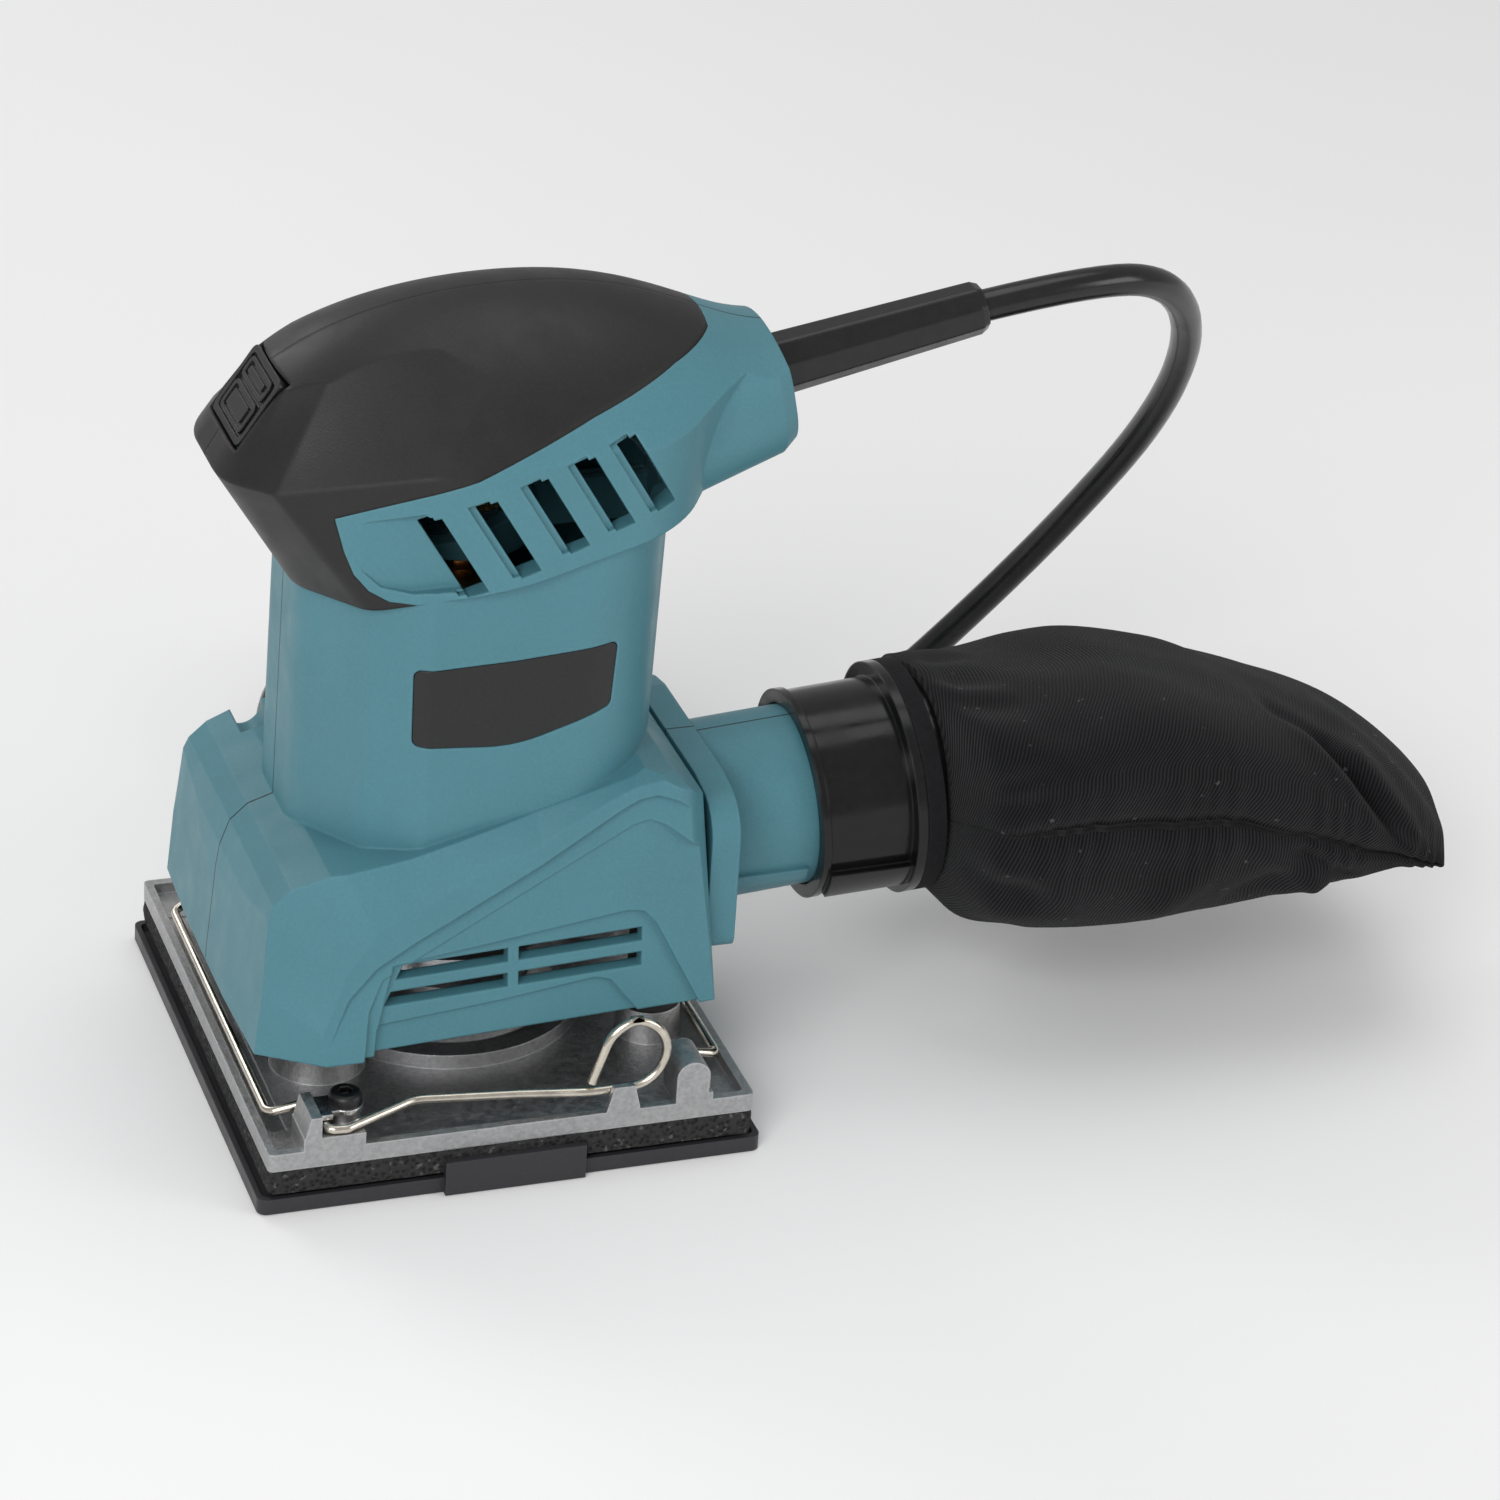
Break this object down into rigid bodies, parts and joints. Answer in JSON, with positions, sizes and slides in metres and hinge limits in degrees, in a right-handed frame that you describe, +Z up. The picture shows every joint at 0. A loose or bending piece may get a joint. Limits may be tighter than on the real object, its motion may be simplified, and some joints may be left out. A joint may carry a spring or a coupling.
{
  "type": "palm finishing sander",
  "caption": "Corded palm sander with a square foam pad, wire paper clamps, a punch plate, a soft-grip head with a rocker switch, and a cloth dust bag.",
  "frame": {"origin": "on the surface it stands on, under the centre of the pad and on the motor's axis", "axes": "+X to the rear, towards the lead and the dust bag; +Z up; -X towards the switch"},
  "size_m": [0.268, 0.2156, 0.1701],
  "materials": {
    "housing_plastic": "fine-textured teal nylon",
    "grip_rubber": "soft-touch overmould",
    "badge_label": "plain black label",
    "black_steel": "blackened steel",
    "black_plastic": "moulded",
    "capacitor_plastic": "moulded",
    "lamination_steel": "stacked laminations",
    "copper_winding": "enamelled copper",
    "bearing_steel": "ground",
    "brass": "drawn",
    "carbon": "pressed carbon",
    "black_rubber": "moulded rubber",
    "guard_rubber": "glossy moulded rubber",
    "cord_rubber": "PVC sheath",
    "plug_plastic": "moulded",
    "zinc_steel": "zinc plated",
    "fan_plastic": "moulded",
    "copper_bars": "turned copper",
    "cast_aluminium": "die cast, shot blasted",
    "foam": "cellular foam rubber",
    "clamp_wire": "nickel plated spring wire",
    "punch_plastic": "satin moulded",
    "switch_rubber": "moulded boot",
    "collar_plastic": "moulded",
    "bag_fabric": "black cotton twill"
  },
  "bodies": {
    "housing": {"housing_left": "housing_plastic", "housing_right": "housing_plastic", "grip_left": "grip_rubber", "grip_right": "grip_rubber", "badge_left": "badge_label", "badge_right": "badge_label", "housing_screws": "black_steel", "switch_body": "black_plastic", "suppression_capacitor": "capacitor_plastic", "field_core": "lamination_steel", "field_coils": "copper_winding", "bearing_plate": "black_plastic", "lower_bearing": "bearing_steel", "upper_bearing": "bearing_steel", "brush_holders": "brass", "carbon_brushes": "carbon", "brush_springs": "bearing_steel", "flexible_legs": "black_rubber", "cord_guard": "guard_rubber", "cord_clamp": "black_plastic", "cord_clamp_screws": "zinc_steel", "power_cord": "cord_rubber", "cord_coil": "cord_rubber", "cord_tie": "black_plastic", "plug_body": "plug_plastic", "plug_pins": "zinc_steel"},
    "rotor": {"motor_shaft": "bearing_steel", "eccentric_pin": "bearing_steel", "pad_screw": "black_steel", "counterweight": "zinc_steel", "cooling_fan": "fan_plastic", "armature_core": "lamination_steel", "armature_windings": "copper_winding", "commutator": "copper_bars"},
    "pad": {"platen": "cast_aluminium", "leg_screws": "zinc_steel", "foam_pad": "foam", "clamp_plates": "zinc_steel", "clamp_screws": "black_steel", "pad_bearing": "bearing_steel"},
    "front_clamp": {"clamp_wire_front": "clamp_wire"},
    "rear_clamp": {"clamp_wire_rear": "clamp_wire"},
    "punch": {"punch_plate": "punch_plastic"},
    "rocker": {"switch_button": "switch_rubber", "switch_rocker": "black_plastic"},
    "bag": {"bag_collar": "collar_plastic", "bag_band": "bag_fabric", "dust_bag": "bag_fabric"}
  },
  "joints": [
    {"name": "rotor_spin", "type": "hinge", "parent": "housing", "child": "rotor", "pos_m": [0, 0, 0.09], "axis": [0, 0, 1], "continuous": true, "deforming": ["flexible_legs"]},
    {"name": "pad_orbit", "type": "hinge", "parent": "rotor", "child": "pad", "pos_m": [0.0008, 0, 0.0175], "axis": [0, 0, 1], "continuous": true},
    {"name": "front_clamp_lever", "type": "hinge", "parent": "pad", "child": "front_clamp", "pos_m": [-0.038, 0, 0.017], "axis": [0, -1, 0], "range_deg": [0, 16]},
    {"name": "rear_clamp_lever", "type": "hinge", "parent": "pad", "child": "rear_clamp", "pos_m": [0.038, 0, 0.017], "axis": [0, 1, 0], "range_deg": [0, 16]},
    {"name": "punch_plate_release", "type": "slide", "parent": "pad", "child": "punch", "axis": [0, 0, -1], "range_m": [0, 0.03]},
    {"name": "switch_rock", "type": "hinge", "parent": "housing", "child": "rocker", "pos_m": [-0.04035, 0, 0.14867], "axis": [0, 1, 0], "range_deg": [0, 8]},
    {"name": "bag_release", "type": "slide", "parent": "housing", "child": "bag", "axis": [0.9969, 0, 0.0785], "range_m": [0, 0.04]}
  ],
  "couplings": [
    {"joint": "pad_orbit", "follows": "rotor_spin", "ratio": -1}
  ]
}
